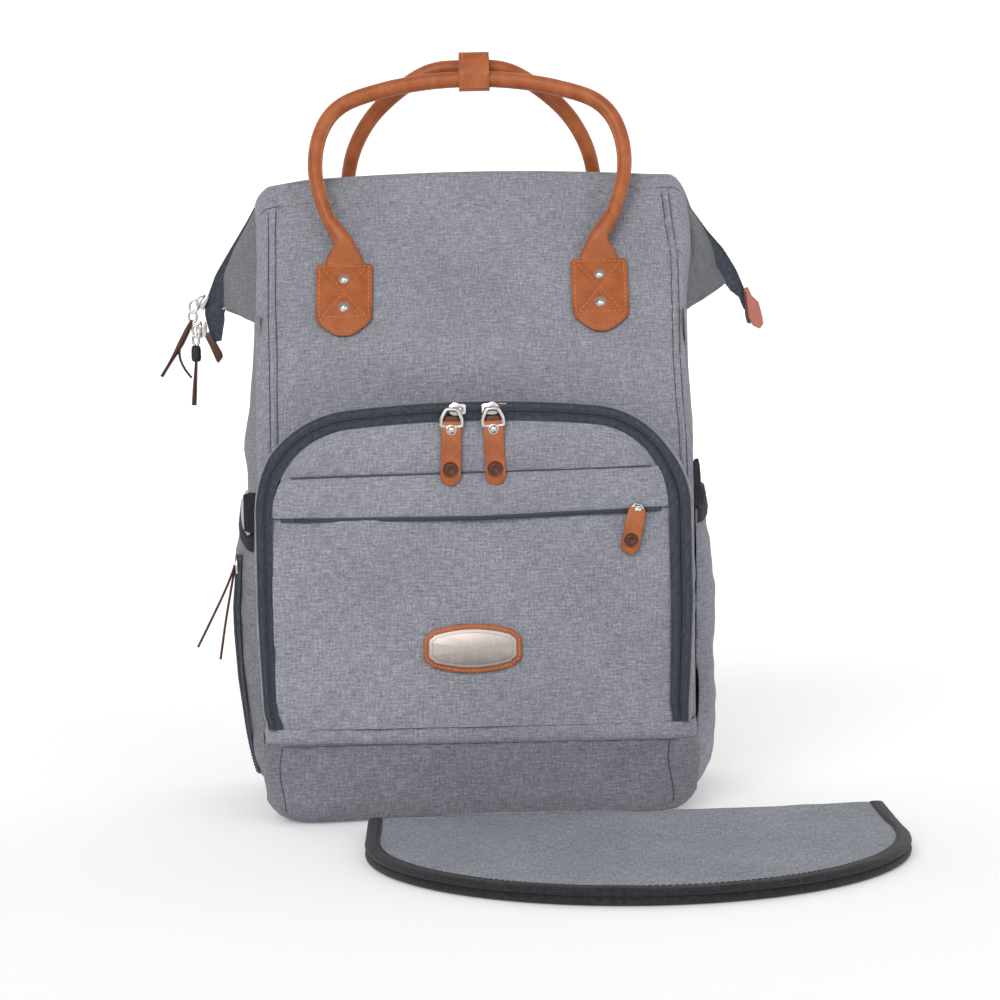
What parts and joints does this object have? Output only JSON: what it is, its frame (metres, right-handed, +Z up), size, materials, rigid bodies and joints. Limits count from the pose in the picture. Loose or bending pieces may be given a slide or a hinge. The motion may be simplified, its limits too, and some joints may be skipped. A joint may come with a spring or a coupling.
{
  "type": "diaper bag",
  "caption": "Upright wide-mouth diaper backpack with a zipped front pocket that folds down, two carrying handles, shoulder straps and a folded changing mat.",
  "frame": {"origin": "on the floor under the middle of the bag's base", "axes": "+X across the bag to the right as seen from the front, the front pocket faces -Y, +Z up"},
  "size_m": [0.4687, 0.4866, 0.501],
  "materials": {
    "fabric_grey": "heather grey woven polyester, slubbed, matte",
    "mat_fabric": "heather grey woven top with black binding",
    "zip_tape": "navy slate woven zip tape",
    "leather_tan": "tan smooth leather, satin",
    "nickel": "polished nickel",
    "frame_wire": "spring steel wire",
    "badge_metal": "brushed, bevelled edge",
    "board": "stiffener board",
    "webbing_black": "black ribbed webbing",
    "buckle_black": "moulded black plastic"
  },
  "bodies": {
    "root": {"base_panel": "fabric_grey", "base_board": "board", "front_wall": "fabric_grey", "back_wall": "fabric_grey", "side_panel_left": "fabric_grey", "side_panel_right": "fabric_grey", "ear_left": "fabric_grey", "ear_right": "fabric_grey", "ear_zip_left": "zip_tape", "ear_zip_right": "zip_tape", "zip_end_tab": "leather_tan", "side_pocket_left": "fabric_grey", "side_pocket_right": "fabric_grey", "side_zip": "zip_tape", "pocket_gusset": "fabric_grey", "base_band": "fabric_grey", "pocket_zip_outer": "zip_tape", "main_slider_lower": "nickel"},
    "pocket_flap": {"pocket_zip_inner": "zip_tape", "pocket_face_upper": "fabric_grey", "welt_band": "fabric_grey", "pocket_face_lower": "fabric_grey", "badge_surround": "leather_tan", "badge_plate": "badge_metal"},
    "mouth_front": {"mouth_panel_front": "fabric_grey", "wire_frame_front": "frame_wire", "mouth_zip_front": "zip_tape", "handle_tab_front_left": "leather_tan", "handle_tab_front_right": "leather_tan", "tab_rivets_front_left": "nickel", "tab_rivets_front_right": "nickel"},
    "mouth_back": {"mouth_panel_back": "fabric_grey", "wire_frame_back": "frame_wire", "mouth_zip_back": "zip_tape", "handle_tab_back_left": "leather_tan", "handle_tab_back_right": "leather_tan", "tab_rivets_back_left": "nickel", "tab_rivets_back_right": "nickel"},
    "handle_front": {"handle_front": "leather_tan"},
    "handle_back": {"handle_back": "leather_tan", "wrap_band": "leather_tan"},
    "wrap_flap": {"wrap_flap": "leather_tan"},
    "main_slider_upper": {"main_slider_upper": "nickel"},
    "main_pull_upper": {"main_pull_upper": "leather_tan"},
    "main_pull_lower": {"main_pull_lower": "leather_tan"},
    "arch_slider_left": {"arch_slider_left": "nickel"},
    "arch_slider_right": {"arch_slider_right": "nickel"},
    "arch_pull_left": {"arch_pull_left": "leather_tan"},
    "arch_pull_right": {"arch_pull_right": "leather_tan"},
    "welt_slider": {"welt_slider": "nickel"},
    "welt_pull": {"welt_pull": "leather_tan"},
    "side_slider": {"side_slider": "leather_tan"},
    "strap_left": {"shoulder_strap_left": "fabric_grey", "ladder_lock_left": "buckle_black", "strap_webbing_left": "webbing_black"},
    "strap_right": {"shoulder_strap_right": "fabric_grey", "ladder_lock_right": "buckle_black", "strap_webbing_right": "webbing_black"},
    "mat": {"mat_leaf_lower": "mat_fabric"},
    "mat_leaf": {"mat_leaf_upper": "mat_fabric"}
  },
  "joints": [
    {"name": "mouth_front_open", "type": "hinge", "parent": "root", "child": "mouth_front", "pos_m": [0, -0.056, 0.302], "axis": [1, 0, 0], "range_deg": [0, 35]},
    {"name": "mouth_back_open", "type": "hinge", "parent": "root", "child": "mouth_back", "pos_m": [0, 0.096, 0.302], "axis": [-1, 0, 0], "range_deg": [0, 35]},
    {"name": "handle_front_fold", "type": "hinge", "parent": "mouth_front", "child": "handle_front", "pos_m": [0, -0.0239, 0.3726], "axis": [1, 0, 0], "range_deg": [0, 140]},
    {"name": "handle_back_fold", "type": "hinge", "parent": "mouth_back", "child": "handle_back", "pos_m": [0, 0.0639, 0.3726], "axis": [-1, 0, 0], "range_deg": [0, 140]},
    {"name": "wrap_flap_open", "type": "hinge", "parent": "handle_back", "child": "wrap_flap", "pos_m": [0, 0.0285, 0.4996], "axis": [-1, 0, 0], "range_deg": [0, 120]},
    {"name": "pocket_flap_open", "type": "hinge", "parent": "root", "child": "pocket_flap", "pos_m": [0, -0.1, 0.0605], "axis": [1, 0, 0], "range_deg": [0, 95]},
    {"name": "main_slider_travel", "type": "slide", "parent": "root", "child": "main_slider_upper", "axis": [0.4786, 0, 0.878], "range_m": [0, 0.05]},
    {"name": "main_pull_upper_swing", "type": "hinge", "parent": "main_slider_upper", "child": "main_pull_upper", "pos_m": [-0.1891, 0.02, 0.332], "axis": [0, 1, 0], "range_deg": [-20, 100]},
    {"name": "main_pull_lower_swing", "type": "hinge", "parent": "root", "child": "main_pull_lower", "pos_m": [-0.1896, 0.02, 0.314], "axis": [0, 1, 0], "range_deg": [-5, 40]},
    {"name": "arch_slider_left_travel", "type": "slide", "parent": "pocket_flap", "child": "arch_slider_left", "axis": [-1, 0, 0], "range_m": [0, 0.055]},
    {"name": "arch_slider_right_travel", "type": "slide", "parent": "pocket_flap", "child": "arch_slider_right", "axis": [1, 0, 0], "range_m": [0, 0.055]},
    {"name": "arch_pull_left_swing", "type": "hinge", "parent": "arch_slider_left", "child": "arch_pull_left", "pos_m": [-0.014, -0.0979, 0.2594], "axis": [-1, 0, 0], "range_deg": [0, 150]},
    {"name": "arch_pull_right_swing", "type": "hinge", "parent": "arch_slider_right", "child": "arch_pull_right", "pos_m": [0.012, -0.0979, 0.2594], "axis": [-1, 0, 0], "range_deg": [0, 150]},
    {"name": "welt_slider_travel", "type": "slide", "parent": "pocket_flap", "child": "welt_slider", "axis": [-1, 0, 0], "range_m": [0, 0.2]},
    {"name": "welt_pull_swing", "type": "hinge", "parent": "welt_slider", "child": "welt_pull", "pos_m": [0.1046, -0.1003, 0.1981], "axis": [-0.9781, 0, 0.2079], "range_deg": [0, 150]},
    {"name": "side_slider_travel", "type": "slide", "parent": "root", "child": "side_slider", "axis": [0, 0, -1], "range_m": [0, 0.1]},
    {"name": "strap_left_swing", "type": "hinge", "parent": "root", "child": "strap_left", "pos_m": [-0.048, 0.1002, 0.29], "axis": [1, 0, 0], "range_deg": [0, 20]},
    {"name": "strap_right_swing", "type": "hinge", "parent": "root", "child": "strap_right", "pos_m": [0.048, 0.1002, 0.29], "axis": [1, 0, 0], "range_deg": [0, 20]},
    {"name": "mat_slide", "type": "slide", "parent": "root", "child": "mat", "axis": [0, -1, 0], "range_m": [0, 0.27]},
    {"name": "mat_leaf_open", "type": "hinge", "parent": "mat", "child": "mat_leaf", "pos_m": [0.0905, -0.136, 0.0047], "axis": [-0.9997, -0.0262, 0], "range_deg": [0, 90]}
  ],
  "couplings": [
    {"joint": "mouth_back_open", "follows": "mouth_front_open", "ratio": 1}
  ]
}
